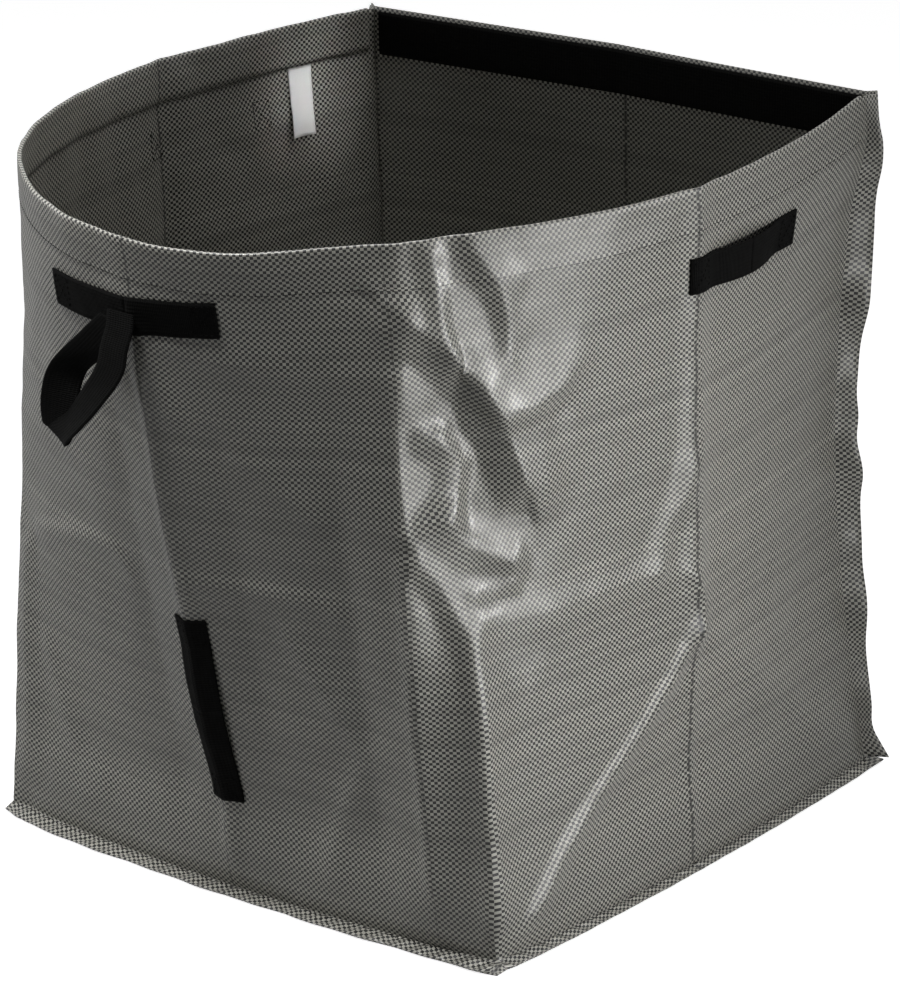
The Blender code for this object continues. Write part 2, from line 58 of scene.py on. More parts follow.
# Cloth body
BASE_SIDE = 0.5
RIM_HEIGHT = 0.59
CLOTH = 0.0008
LAYER_GAP = 0.0003
SEAM_ALLOWANCE = 0.018
RIM_SPREAD = 0.02
RIM_WIDEST_Y = -0.02
SAGS_FROM, SPREADS_FROM = 0.2, 0.3  # heights from which the rim's sag and its outline are felt
REAR_TAKEN_IN = 0.004
REAR_LEAN_IN = 0.024
REAR_FOLD_OUT = 0.012
FRONT_FULLNESS = 0.003
FRONT_FOLD_OUT, FRONT_FOLD_REACH = 0.014, 0.05
CORNER_FOLD, CORNER_FOLD_OUT = 0.052, 0.02
CORNER_BLUNTED = 0.018
CORNER_REACH_SIDE, CORNER_REACH_FRONT = 0.078, 0.05
SIDE_HOLLOW = 0.007
REAR_FULLNESS = 0.01
GUSSET_OUT, GUSSET_TOP = 0.006, 0.212
SEAM_DRAWN_IN = 0.022
SEAM_HEM_OUT, SEAM_HELD_FROM = 0.0066, 0.48  # the hem holds the right rear seam out this far from here up
HEM_DEPTH = 0.038
HEM_CLOSED = 0.004
HEM_SETBACK = 0.009
STRIP = 0.0015
STRIP_SHORT_OF_HEM = 0.004
BAND_WIDTH = 0.038
BAND_BELOW_RIM = 0.004
BAND_SHORT_OF_SEAM = 0.006
LABEL_WIDTH, LABEL_LENGTH, LABEL = 0.025, 0.06, 0.0004
LABEL_FROM_REAR_SEAM = 0.088
LABEL_CURL, LABEL_CUPPED, LABEL_LEAN = 0.004, 0.002, 0.006  # at its foot

# Base seam, and the lip that its allowances make
SEAM_HEIGHT = 0.0075  # above the ground, and the lip slopes down from there
FOOT_OUT_FRONT, FOOT_OUT_RIGHT, FOOT_DOWN = 0.014, 0.009, 0.004  # how the seam bows between its corners
FOOT_MIDDLE, FOOT_CORNER, FOOT_FADES = 0.02, 0.06, 0.1  # in x, in from the corners, and in height
BASE_LIP, LIP_ROWS, LIP_STITCHED = 0.014, 5, 0.003
BASE_LIP_SHARE = 0.88  # the base's own allowance ends short of the walls'
LIP_FRONT, LIP_RIGHT, LIP_LEFT = 0.98, 0.72, 0.25  # what each side's lip shows of its width
LIP_SWAY, LIP_AT_CORNER = 0.25, 0.45  # of the front lip, and at its left end
LIP_FROM, LIP_FULL = -0.004, 0.02  # where the front lip starts to widen and is full, past the left corner
LIP_LOW, LIP_LOW_SWAY = 0.0017, 0.0006
BASE_SLOPES = 0.022  # how far inside its seam the base starts to rise
PUCKER, PUCKER_HEIGHT = 0.021, 0.0016

# Crumples and waves of the wrapped cloth
CRUMPLED, CRUMPLED_CORNER, CRUMPLED_LEFT = 0.0007, 0.0024, 0.0026  # everywhere, and added at two places
CRUMPLED_RUN, CRUMPLED_HEIGHT, CRUMPLED_REACH = 0.47, 0.45, 0.075  # the spot at the corner
LEFT_FROM, LEFT_FULL = 1.04, 1.12
FOLDS_ACROSS, FOLDS_UP, FINER, FINER_SHARE = 17, 11, 2.3, 0.45
WAVES_ACROSS, WAVES_UP = 6, 10
WAVES = ((0.0014, 1), (0.0009, 2.7), (0.0004, 6))  # how high, and how fine
HELD_AT_SEAM, HELD_BELOW = 0.03, 0.04  # the seams pull the cloth smooth up to here
FLANGE_SWAY = ((0.22, 47, 0.6), (0.16, 91, 2), (0.12, 23, 0))  # how far, how often and from where

# Webbing handles
WEB = 0.0015
WEB_WIDTH = 0.03
WEB_SEAT = 0.0005
SEWN_LENGTH = 0.025
CARRY_LENGTH = 0.153
RIGHT_BEHIND_FOLD, LEFT_BEHIND_FOLD = 0.06, 0.05
CARRY_BELOW_RIM = 0.057
PULL_LEFT_SPAN, PULL_RIGHT_SPAN = 0.094, 0.08
PULL_LOW, PULL_LEFT_LOW, PULL_RIGHT_HIGH = 0.004, 0.009, 0.005  # off the level line, at its middle and ends
PULL_LEFT_OF_FOLD = 0.01
PULL_BELOW_RIM = 0.047
TIPPING_LENGTH = 0.168
TIPPING_FOOT = 0.085
TIPPING_PAST_FOLD = 0.015
CARRY_SLACK, TIPPING_SLACK = 0.007, 0.002  # how far the straps hang off the cloth with nothing in the hand
BENDS_OVER = 0.8  # share of a strap's free half that bends when it lifts
SLACK_STEPS = 8

# Stitching
STITCH, STITCH_PITCH, THREAD = 0.0032, 0.0043, 0.0004
STITCH_INSET = 0.003
HEM_STITCHES = 0.002, 0.0025, 0.0012  # past the hem's end, and above its foot outside and inside

# The pull handle's slack: points of its middle line and, at each, which way its width lies
SLACK_LINE = (
    ((-0.0124, -0.3795, 0.5176), (0.987, -0.15, 0.07)),
    ((-0.0112, -0.3822, 0.506), (0.987, -0.15, 0.07)),
    ((-0.0139, -0.386, 0.4901), (0.985, -0.15, 0.02)),
    ((-0.017, -0.389, 0.4713), (0.975, -0.16, -0.05)),
    ((-0.0375, -0.389, 0.443), (0.88, -0.42, -0.22)),
    ((-0.0615, -0.387, 0.416), (0.6, -0.65, -0.46)),
    ((-0.0765, -0.383, 0.406), (0.86, -0.32, -0.38)),
    ((-0.079, -0.379, 0.4085), (0.93, 0.05, -0.3)),
    ((-0.0795, -0.375, 0.432), (0.89, 0.38, -0.16)),
    ((-0.074, -0.371, 0.4565), (0.82, 0.55, -0.15)),
    ((-0.0495, -0.3725, 0.481), (0.95, 0.08, -0.28)),
    ((-0.0199, -0.379, 0.5101), (0.97, -0.1, -0.1)),
)


def thousandths(values):
    """A table in metres and walls, from one in millimetres and thousandths of a wall."""
    if isinstance(values, (int, float)):
        return values / 1000
    return tuple(thousandths(value) for value in values)


# How far the rim stands outside its plain D, and how far the hem leans in above its stitches, at places along
# the wrapped cloth, counted from the right rear seam
RIM_OUT = thousandths(((0, 0), (1600, 0), (1800, 5), (1900, 7), (2000, 6), (2150, 0), (3000, 0)))
HEM_LEAN = thousandths(((0, 0), (550, 1), (750, 6), (970, 7), (1040, 0), (3000, 0)))
RIM_ROUNDED, LEAN_ROUNDED, FLANGE_ROUNDED = 0.04, 0.03, 0.008  # how far the tables' corners are rounded

# How far the rim sags there
RIM_SAG = thousandths((
    (0, 0), (100, 6), (200, 9), (400, 11), (500, 9), (700, 6.5), (900, 3), (1000, 2), (1100, 1), (1200, 3.5),
    (1300, 9), (1400, 11), (1500, 10), (1600, 9), (1700, 7.5), (1800, 4), (1900, 1), (2200, 0), (2300, 4),
    (2450, 6), (2600, 10), (2800, 13.5), (2900, 15), (3000, 18),
))

# How far each rear seam's allowance reaches out, by height
FLANGE_REACH = (
    (0, 0.023), (0.025, 0.013), (0.036, 0.009), (0.049, 0.012), (0.113, 0.0147), (0.153, 0.0195),
    (0.184, 0.0186), (0.261, 0.023), (0.295, 0.0166), (0.31, 0.02), (0.333, 0.0166), (0.408, 0.022),
    (0.447, 0.024), (0.52, 0.019), (0.56, 0.01), (0.59, 0.009),
)

# Creases of the wrapped walls: how far each stands out, how far it reaches to the left and to the right of
# its line, and the line's (run, height) points on the cloth, where the run starts at the right rear seam
CREASES = thousandths((
    # The right front corner, under the hem and down its pressed-in edge
    (6, 14, 16, ((505, 490), (512, 520), (510, 545), (512, 580))),
    (5.5, 30, 16, ((452, 490), (450, 515), (458, 548), (478, 580))),
    (13, 50, 30, ((443, 387), (459, 430), (480, 472), (511, 506), (538, 530))),
    (8.5, 50, 18, ((404, 458), (430, 448), (462, 444), (480, 465))),
    (9.5, 24, 26, ((457, 322), (474, 330), (501, 344), (519, 366))),
    (6.5, 16, 22, ((512, 372), (505, 390), (500, 408), (519, 432))),
    (4, 12, 12, ((455, 300), (477, 301), (498, 302))),
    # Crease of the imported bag, across the right wall and up beside its middle fold
    (3, 16, 34, ((296, 274), (330, 272), (373, 273), (449, 276), (493, 279))),
    (3.8, 14, 20, ((296, 272), (287, 304), (270, 329), (262, 352))),
    # The folds beside the right front corner
    (3.4, 20, 13, ((551, 60), (550, 150), (550, 240), (551, 330))),
    (5.5, 42, 14, ((503, 30), (503, 100), (504, 172), (503, 220), (507, 269), (526, 312), (543, 340))),
    (3.8, 28, 26, ((545, 470), (542, 521), (538, 590))),
    # The front wall's middle fold
    (3.4, 14, 12, ((752, 10), (753, 110), (751, 240), (756, 340), (756, 440), (757, 520))),
    (2.6, 14, 14, ((735, 440), (742, 480), (750, 512))),
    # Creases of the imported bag, across the front wall
    (1.8, 10, 20, ((543, 488), (598, 490), (668, 496), (734, 503))),
    (1.8, 16, 16, ((625, 362), (651, 386), (680, 414))),
    (2.4, 12, 24, ((615, 280), (640, 290), (684, 289), (745, 287))),
    (2.8, 30, 14, ((656, 51), (639, 93), (610, 153), (621, 177), (643, 210), (664, 249))),
    (2.2, 10, 16, ((820, 276), (832, 289), (867, 289), (957, 268))),
    (3.4, 20, 20, ((984, 35), (982, 104), (986, 157), (983, 240))),
    (2, 16, 16, ((925, 85), (940, 126), (954, 167))),
))

# The right wall's middle fold and its gusset's edges, which the left wall has too
SIDE_CREASES = thousandths((
    (4.4, 26, 20, ((257, 214), (258, 270), (259, 336), (260, 410), (258, 500), (253, 590))),
    (3, 6, 8, ((252, 217), (249, 232), (255, 250), (265, 264))),
    (5.4, 18, 10, ((494, 10), (464, 30), (422, 69), (372, 107), (317, 148), (285, 177), (255, 210))),
    (2, 30, 30, ((4, 10), (61, 60), (154, 129), (251, 208))),
    (1.6, 10, 14, ((255, 8), (254, 110), (252, 205))),
))

# Looks: the weave's tapes, and the run, width and strength of each painted shade line along a hard crease
WEAVE_ACROSS, WEAVE_UP = 0.00265, 0.00234
CREASE_SHADE_LINES = ((0.2575, 0.0024, 1.0), (0.5495, 0.0008, 0.5), (0.7555, 0.0015, 0.9), (1.2425, 0.0017, 1.0))
CREASE_SHADE_SWAY = 0.004
RIB_PITCH, CORD_PITCH = 0.0016, 0.003

# How fine the meshes are, and the wrapped walls' mesh up to each place
WALLS = 3
CELL, CELL_FINE, CELL_HIDDEN = 0.005, 0.0036, 0.008
CELL_STRIP, CELL_STRAP, CELL_ACROSS = 0.01, 0.004, 0.003
WALL_CELLS = (
    (0.46, CELL), (0.58, CELL_FINE), (0.8, CELL), (1.16, CELL_FINE), (1.46, CELL), (1.56, CELL_FINE),
    (2, CELL), (WALLS, CELL_HIDDEN),
)
OUTLINE_STEPS, HALVINGS = 240, 30

# Measures that follow from these
FRONT_FOLD, SIDE_FOLD = WALLS / 2, 0.5
HALF_BASE = BASE_SIDE / 2
RIM_HALF_WIDTH = HALF_BASE + RIM_SPREAD
RIM_SEAM_X, RIM_SEAM_Y = HALF_BASE - REAR_TAKEN_IN, HALF_BASE - REAR_LEAN_IN
HEM_RADIUS = (STRIP + 2 * LAYER_GAP + CLOTH) / 2
WALL_TOP = RIM_HEIGHT - CLOTH / 2 - HEM_RADIUS
HEM_FOOT = RIM_HEIGHT - HEM_DEPTH
SEAM_SPREAD = (CLOTH + LAYER_GAP) / 2
ALLOWANCE = SEAM_ALLOWANCE / BASE_SIDE
WEB_OUT = CLOTH / 2 + WEB_SEAT + WEB / 2
THREAD_OUT = THREAD / 3
REAR_RIGHT = Vector((1, 1)).normalized()
RIGHT_FRONT = Vector((1, -1)).normalized()


# Shape of the walls


def along_table(table, value):
    """Reads a table of (value, result) rows, straight between its rows."""
    keys = [row[0] for row in table]
    i = min(max(bisect.bisect_right(keys, value), 1), len(table) - 1)
    share = min(max((value - keys[i - 1]) / (keys[i] - keys[i - 1]), 0), 1)
    return table[i - 1][1] + (table[i][1] - table[i - 1][1]) * share


def smooth_table(table, value, reach):
    """The same, rounded over its corners."""
    steps = (-1, -0.5, 0, 0.5, 1)
    return sum(along_table(table, value + reach * step) for step in steps) / len(steps)


def smoothstep(low, high, value):
    share = min(max((value - low) / (high - low), 0), 1)
    return share * share * (3 - 2 * share)


def rim_outline(front_reach):
    rear_rise = RIM_SEAM_Y - RIM_WIDEST_Y
    rear_reach = rear_rise / math.sqrt(1 - (RIM_SEAM_X / RIM_HALF_WIDTH) ** 2)
    seam_angle = math.asin(rear_rise / rear_reach)
    points, lengths = [], [0.0]
    for step in range(OUTLINE_STEPS + 1):
        angle = -math.pi / 2 + (math.pi / 2 + seam_angle) * step / OUTLINE_STEPS
        reach = front_reach if angle < 0 else rear_reach
        points.append(Vector((RIM_HALF_WIDTH * math.cos(angle), RIM_WIDEST_Y + reach * math.sin(angle))))
    for before, after in zip(points, points[1:]):
        lengths.append(lengths[-1] + (after - before).length)
    return points, lengths


def rim_for_cloth():
    """The D whose curve is as long as the cloth of the three wrapped walls."""
    shortest, longest = 0, FRONT_FOLD * BASE_SIDE
    for _ in range(HALVINGS):
        reach = (shortest + longest) / 2
        points, lengths = rim_outline(reach)
        if lengths[-1] < FRONT_FOLD * BASE_SIDE:
            shortest = reach
        else:
            longest = reach
    return points, lengths


RIM_POINTS, RIM_LENGTHS = rim_for_cloth()


def rim_plan(place):
    wanted = min(abs(FRONT_FOLD - place) / FRONT_FOLD, 1) * RIM_LENGTHS[-1]
    i = min(max(bisect.bisect_right(RIM_LENGTHS, wanted), 1), len(RIM_LENGTHS) - 1)
    share = (wanted - RIM_LENGTHS[i - 1]) / (RIM_LENGTHS[i] - RIM_LENGTHS[i - 1])
    point = RIM_POINTS[i - 1].lerp(RIM_POINTS[i], share)
    return point if place <= FRONT_FOLD else Vector((-point.x, point.y))


def rim_outward(place):
    step = 0.01
    along = rim_plan(min(place + step, WALLS)) - rim_plan(max(place - step, 0))
    return Vector((-along.y, along.x)).normalized()


def wall_of(place):
    number = min(max(int(place), 0), WALLS - 1)
    return number, place - number


def base_plan(place):
    number, share = wall_of(place)
    run = share * BASE_SIDE
    return (
        Vector((HALF_BASE, HALF_BASE - run)),
        Vector((HALF_BASE - run, -HALF_BASE)),
        Vector((-HALF_BASE, -HALF_BASE + run)),
    )[number]


def base_outward(place):
    return (Vector((1, 0)), Vector((0, -1)), Vector((-1, 0)))[wall_of(place)[0]]


def seam_direction(place):
    return REAR_RIGHT if place < FRONT_FOLD else Vector((-REAR_RIGHT.x, REAR_RIGHT.y))


def under_hem(height):
    return min(max((height - SEAM_HEIGHT) / (HEM_FOOT - SEAM_HEIGHT), 0), 1)


def tent(distance, reach):
    return max(1 - abs(distance) / reach, 0)


def blunted(place, height):
    """How far the right front corner is pressed in above the gussets."""
    above = max((height - GUSSET_TOP) / (HEM_FOOT - GUSSET_TOP), 0)
    pressed = math.sin(math.pi * min(above, 1))
    from_corner = (place - 1) * BASE_SIDE
    reach = CORNER_REACH_FRONT if place > 1 else CORNER_REACH_SIDE
    return CORNER_BLUNTED * tent(from_corner, reach) * pressed


def front_fullness(share, arch):
    """Outward reach of the front wall, whose corner fold comes out sooner above the base than the rest."""
    run = share * BASE_SIDE
    swell = FRONT_FULLNESS * math.sin(math.pi * tent(run - HALF_BASE, HALF_BASE))
    middle_fold = FRONT_FOLD_OUT * tent(run - HALF_BASE, FRONT_FOLD_REACH)
    return (swell + middle_fold) * arch + CORNER_FOLD_OUT * tent(run - CORNER_FOLD, CORNER_FOLD) * arch**0.6


def fullness(place, height):
    """How far the cloth stands outside the straight line from base to rim."""
    number, share = wall_of(place)
    level = under_hem(height)
    if number == 1:
        return front_fullness(share, max(math.sin(math.pi * level), 0))
    to_fold = tent(share - SIDE_FOLD, SIDE_FOLD)
    fold_level = under_hem(GUSSET_TOP)
    diagonal = fold_level * to_fold
    if level <= diagonal:
        return GUSSET_OUT * level / fold_level
    above = (level - diagonal) / (1 - diagonal)
    across = math.sin(math.pi * to_fold)
    hollow = SIDE_HOLLOW * across * (2 - across) * math.sin(math.pi * above)
    return GUSSET_OUT * to_fold * (1 - above) - hollow


def seam_pull(right, height):
    """How far a rear seam is drawn in at a height."""
    held_out = SEAM_HEM_OUT * smoothstep(SEAM_HELD_FROM, HEM_FOOT, height) if right else 0
    return SEAM_DRAWN_IN * math.sin(math.pi * under_hem(height)) - held_out


def drawn_in(place, height):
    to_seam = min(min(place, WALLS - place) / SIDE_FOLD, 1)
    return seam_pull(place < FRONT_FOLD, height) * (1 - to_seam) ** 2


def between_corners(along):
    """A blunt arch, from 0 at one corner of the base to 1 in the middle and 0 at the other corner."""
    return max(math.cos(math.pi / 2 * along / HALF_BASE), 0) ** 0.6


def foot_bow(x, y):
    """How far the base seam's front and right edges bow out and down, at a point of the plan."""
    front = between_corners(x - FOOT_MIDDLE) * smoothstep(HALF_BASE - FOOT_CORNER, HALF_BASE, -y)
    right = between_corners(y) * smoothstep(HALF_BASE - FOOT_CORNER, HALF_BASE, x)
    return Vector((FOOT_OUT_RIGHT * right, -FOOT_OUT_FRONT * front, -FOOT_DOWN * max(front, right)))


def sag(place, height):
    """How far a point of the wrapped cloth hangs below its height, most at the rim."""
    return smooth_table(RIM_SAG, place, RIM_ROUNDED) * smoothstep(SAGS_FROM, RIM_HEIGHT, height)


def wrap_point(place, height):
    """The middle of the cloth of the right, front and left walls, without its creases."""
    level = (height - SEAM_HEIGHT) / (WALL_TOP - SEAM_HEIGHT)
    plan = base_plan(place).lerp(rim_plan(place), level)
    outward = base_outward(place).lerp(rim_outward(place), level).normalized()
    plan += outward * fullness(place, height)
    plan -= RIGHT_FRONT * blunted(place, height)
    plan -= seam_direction(place) * drawn_in(place, height)
    at_rim = smooth_table(RIM_OUT, place, RIM_ROUNDED) * smoothstep(SPREADS_FROM, RIM_HEIGHT, height)
    lean = smooth_table(HEM_LEAN, place, LEAN_ROUNDED) * max(height - HEM_FOOT, 0) / HEM_DEPTH
    plan += rim_outward(place) * (at_rim - lean)
    bow = foot_bow(*base_plan(place)) * (1 - smoothstep(SEAM_HEIGHT, FOOT_FADES, height))
    return Vector((plan.x, plan.y, height - sag(place, height))) + bow


def rear_point(share, height):
    """The middle of the flat wall's cloth, from 0 at the left seam to 1 at the right one."""
    level = (height - SEAM_HEIGHT) / (WALL_TOP - SEAM_HEIGHT)
    from_middle = abs(share - 0.5) * 2
    foot = Vector((HALF_BASE * (2 * share - 1), HALF_BASE))
    rim = Vector((RIM_SEAM_X * (2 * share - 1), RIM_SEAM_Y + REAR_FOLD_OUT * (1 - from_middle)))
    plan = foot.lerp(rim, level)
    plan.y += REAR_FULLNESS * math.sin(math.pi * under_hem(height)) * math.sin(math.pi * from_middle)
    pull = seam_pull(share > 0.5, height) * from_middle**2
    plan -= seam_direction(WALLS * (1 - share)) * pull
    fall = sag(WALLS, height) * (1 - share)
    return Vector((plan.x, plan.y, height - fall))


def crease_offset(run, height, crease):
    """How far one crease lifts the cloth at a point, from its nearest stretch."""
    out, reach_left, reach_right, line = crease
    widest = max(reach_left, reach_right)
    for value, values in zip((run, height), zip(*line)):
        if not min(values) - widest < value < max(values) + widest:
            return 0
    nearest, side = widest, 1
    for (run_a, height_a), (run_b, height_b) in zip(line, line[1:]):
        along = (run_b - run_a, height_b - height_a)
        gap = (run - run_a, height - height_a)
        share = (gap[0] * along[0] + gap[1] * along[1]) / (along[0] ** 2 + along[1] ** 2)
        share = min(max(share, 0), 1)
        distance = math.hypot(gap[0] - along[0] * share, gap[1] - along[1] * share)
        if distance < nearest:
            nearest, side = distance, along[0] * gap[1] - along[1] * gap[0]
    return out * max(1 - nearest / (reach_left if side > 0 else reach_right), 0) ** 1.2


def mirrored(crease):
    """The same crease on the left wall."""
    out, reach_left, reach_right, line = crease
    return out, reach_right, reach_left, tuple((WALLS * BASE_SIDE - run, height) for run, height in line)


ALL_CREASES = CREASES + SIDE_CREASES + tuple(mirrored(crease) for crease in SIDE_CREASES)


def crumple(run, height):
    """Sharp small folds, strongest at the right front corner and on the left wall."""
    from_corner = (run - CRUMPLED_RUN) ** 2 + (height - CRUMPLED_HEIGHT) ** 2
    at_corner = CRUMPLED_CORNER * math.exp(-from_corner / CRUMPLED_REACH**2)
    on_left = CRUMPLED_LEFT * smoothstep(LEFT_FROM, LEFT_FULL, run)
    spot = Vector((run * FOLDS_ACROSS, height * FOLDS_UP, 3))
    ridge = abs(noise.noise(spot)) + FINER_SHARE * abs(noise.noise(spot * FINER))
    return -(CRUMPLED + at_corner + on_left) * ridge


def relief(place, height):
    """Outward offset of the cloth's creases and small waves at a place on the wrapped walls."""
    run = place * BASE_SIDE
    spot = Vector((place * WAVES_ACROSS, height * WAVES_UP, 0))
    waves = sum(out * noise.noise(spot * finer) for out, finer in WAVES)
    return waves + crumple(run, height) + sum(crease_offset(run, height, crease) for crease in ALL_CREASES)


def wall_outward(place, height):
    """Square to the wrapped cloth, from its points a little to each side, above and below."""
    side, rise = 0.004, 0.002
    along = wrap_point(min(place + side, WALLS), height) - wrap_point(max(place - side, 0), height)
    up = wrap_point(place, min(height + rise, WALL_TOP)) - wrap_point(place, max(height - rise, SEAM_HEIGHT))
    return up.cross(along).normalized()


def wall_point(place, height):
    """The middle of the wrapped cloth with its creases."""
    held = smoothstep(0, HELD_AT_SEAM, min(place, WALLS - place))
    held *= smoothstep(SEAM_HEIGHT, HELD_BELOW, height)
    return wrap_point(place, height) + wall_outward(place, height) * relief(place, height) * held


# Meshes


def spread(first, last, cell):
    """Evenly spaced values from first to last, about a cell apart."""
    count = max(round((last - first) / cell), 1)
    return [first + (last - first) * i / count for i in range(count + 1)]


def joined(*runs):
    """Runs of values that follow each other, as one list."""
    return sorted({round(value, 9) for run in runs for value in run})


def cloth_grid(columns, rows, place, flat, absent=None):
    """A grid moved to place(column, row), with a UV map of flat(column, row) in metres of cloth."""
    mesh = bmesh.new()
    across, up = len(columns) - 1, len(rows) - 1
    bmesh.ops.create_grid(mesh, x_segments=across, y_segments=up, size=0.5)
    uv = mesh.loops.layers.uv.new("cloth")
    unwanted = []
    index = {}
    for vert in mesh.verts:
        index[vert] = (round((vert.co.x + 0.5) * across), round((vert.co.y + 0.5) * up))
    for face in mesh.faces:
        corners = [index[loop.vert] for loop in face.loops]
        if absent and absent(min(i for i, _ in corners), min(j for _, j in corners)):
            unwanted.append(face)
        for loop, (i, j) in zip(face.loops, corners):
            loop[uv].uv = flat(columns[i], rows[j])
    for vert, (i, j) in index.items():
        vert.co = place(columns[i], rows[j])
    bmesh.ops.delete(mesh, geom=unwanted, context="FACES")
    return mesh


def placed(name, data):
    made = bpy.data.objects.new(name, data)
    bpy.context.scene.collection.objects.link(made)
    return made


def finished(name, mesh, look, body, thickness=0):
    """A piece from a mesh, given its thickness and its body."""
    bmesh.ops.recalc_face_normals(mesh, faces=mesh.faces)
    data = bpy.data.meshes.new(name)
    mesh.to_mesh(data)
    mesh.free()
    data.shade_smooth()
    data.set_sharp_from_angle(angle=math.radians(50))
    data.materials.append(look)
    piece = placed(name, data)
    if thickness:
        solid = piece.modifiers.new("thickness", "SOLIDIFY")
        solid.thickness = thickness
        solid.offset = 0
    if body:
        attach(piece, body)
    return piece


def edge_outward(plan):
    """Which way is outside at a point on the base's edge."""
    return Vector([math.copysign(abs(side) > HALF_BASE - LAYER_GAP, side) for side in plan])


def flange_wave(height):
    """Sideways sway of a rear seam's allowance."""
    return sum(share * math.sin(height * waves + start) for share, waves, start in FLANGE_SWAY)


def beside_seam(point, place, last, gap):
    inner = min(max(place, 0), last)
    if 0 < inner < last:
        return point
    outward = Vector((math.copysign(1, point.x), 1)).normalized()
    side = Vector((outward.x, -outward.y))
    widest = smooth_table(FLANGE_REACH, point.z, FLANGE_ROUNDED)
    reach = abs(place - inner) * BASE_SIDE / SEAM_ALLOWANCE * widest
    sway = flange_wave(point.z) * reach
    return point + (outward * reach + side * (gap + sway)).to_3d()


def lip_wave(along):
    return 0.5 + 0.5 * math.sin(along * 41 + 1) * math.sin(along * 17)


def stretched(side, factor):
    """A coordinate whose part outside the base's edge is scaled."""
    beyond = abs(side) - HALF_BASE
    return math.copysign(HALF_BASE + beyond * factor, side) if beyond > 0 else side


def lip_plan(x, y):
    """Where a point of the base seam's lip lies: wide and wavy in front, narrow at the sides."""
    from_left = smoothstep(-HALF_BASE + LIP_FROM, -HALF_BASE + LIP_FULL, x)
    front = LIP_FRONT + LIP_SWAY * lip_wave((x - y) / BASE_SIDE)
    front *= LIP_AT_CORNER + (1 - LIP_AT_CORNER) * from_left
    plan = Vector((stretched(x, LIP_RIGHT if x > 0 else LIP_LEFT), stretched(y, front if y < 0 else 1)))
    return plan + foot_bow(x, y).to_2d()


def lip_height(x, y, outside):
    """Height of the base seam's lip at a distance outside the seam, puckered along the seam."""
    share = outside / BASE_LIP
    along = (x - y) / PUCKER
    pucker = math.sin(along * 2 * math.pi + 1.5 * noise.noise(Vector((along * 0.3, 0, 7))))
    low = LIP_LOW + LIP_LOW_SWAY * lip_wave((x - y) / BASE_SIDE)
    seam = SEAM_HEIGHT + foot_bow(x, y).z
    return seam + (low - seam) * share + PUCKER_HEIGHT * pucker * math.sin(math.pi * share)


def lip_rows():
    return [(SEAM_HEIGHT, -BASE_LIP * i / LIP_ROWS) for i in range(LIP_ROWS, 0, -1)]


def lip_point(plan, outside):
    """A point of a wall's lip, at a distance outside a point of the base's edge."""
    x, y = plan + edge_outward(plan) * outside
    point = lip_plan(x, y).to_3d()
    point.z = lip_height(x, y, outside)
    return point


def wrap_place(place, row):
    height, inside = row
    inner = min(max(place, 0), WALLS)
    point = wall_point(inner, min(height, WALL_TOP))
    if height > WALL_TOP:
        point.z += height - WALL_TOP
    if inside < 0:
        point = lip_point(base_plan(inner), -inside)
    else:
        point -= rim_outward(inner).to_3d() * inside
    return beside_seam(point, place, WALLS, SEAM_SPREAD)


def hem_rows():
    fold = []
    for degrees in range(30, 181, 30):
        angle = math.radians(degrees)
        fold.append((WALL_TOP + HEM_RADIUS * math.sin(angle), HEM_RADIUS * (1 - math.cos(angle))))
    down = [(height, 2 * HEM_RADIUS) for height in spread(HEM_FOOT + HEM_CLOSED, WALL_TOP, CELL)[-2::-1]]
    return fold + down + [(HEM_FOOT, CLOTH + LAYER_GAP)]


def wall_heights(top):
    return joined(spread(SEAM_HEIGHT, HEM_FOOT, CELL), spread(HEM_FOOT, top, CELL))


def woven_walls(look):
    """Right, front and left walls in one sheet, with its hem turned in and its allowances turned out."""
    coarse = CELL / BASE_SIDE
    start = HEM_SETBACK / BASE_SIDE
    inner, before = [0, start, WALLS], start
    for place, cell in WALL_CELLS:
        after = min(place, WALLS - start)
        inner += spread(before, after, cell / BASE_SIDE)
        before = after
    columns = joined(spread(-ALLOWANCE, 0, coarse), inner, spread(WALLS, WALLS + ALLOWANCE, coarse))
    heights = wall_heights(WALL_TOP)
    lips = lip_rows()
    rows = lips + [(height, 0) for height in heights] + hem_rows()
    runs = [inside for _, inside in lips] + [height - SEAM_HEIGHT for height in heights]
    for before, after in zip(rows[len(runs) - 1:], rows[len(runs):]):
        runs.append(runs[-1] + math.dist(before, after))
    length_at = dict(zip(rows, runs))
    first_hem = len(lips) + len(heights) - 1
    foot = len(lips)

    def flat(place, row):
        return place * BASE_SIDE, length_at[row]

    def absent(i, j):
        place = (columns[i] + columns[i + 1]) / 2
        in_allowance = not 0 < place < WALLS
        beside_hem = not start < place < WALLS - start
        return in_allowance and j < foot or beside_hem and j >= first_hem

    mesh = cloth_grid(columns, rows, wrap_place, flat, absent)
    walls = finished("woven_walls", mesh, look, "bag", CLOTH)
    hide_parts("wrap_cloth")


def rear_place(share, row):
    height, inside = row
    inner = min(max(share, 0), 1)
    point = rear_point(inner, height)
    if inside < 0:
        point = lip_point(point.to_2d(), -inside)
    return beside_seam(point, share, 1, -SEAM_SPREAD)


def flat_wall(look):
    """The flat wall, a panel of its own."""
    cell = CELL / BASE_SIDE
    columns = joined(spread(-ALLOWANCE, 0, cell), spread(0, 1, cell), spread(1, 1 + ALLOWANCE, cell))
    heights = wall_heights(RIM_HEIGHT)
    rows = lip_rows() + [(height, 0) for height in heights]

    def flat(share, row):
        return share * BASE_SIDE, row[0] + min(row[1], 0)

    def absent(i, j):
        return not 0 < (columns[i] + columns[i + 1]) / 2 < 1 and j < LIP_ROWS

    mesh = cloth_grid(columns, rows, rear_place, flat, absent)
    wall = finished("flat_wall", mesh, look, "bag", CLOTH)
    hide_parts("rear_cloth")


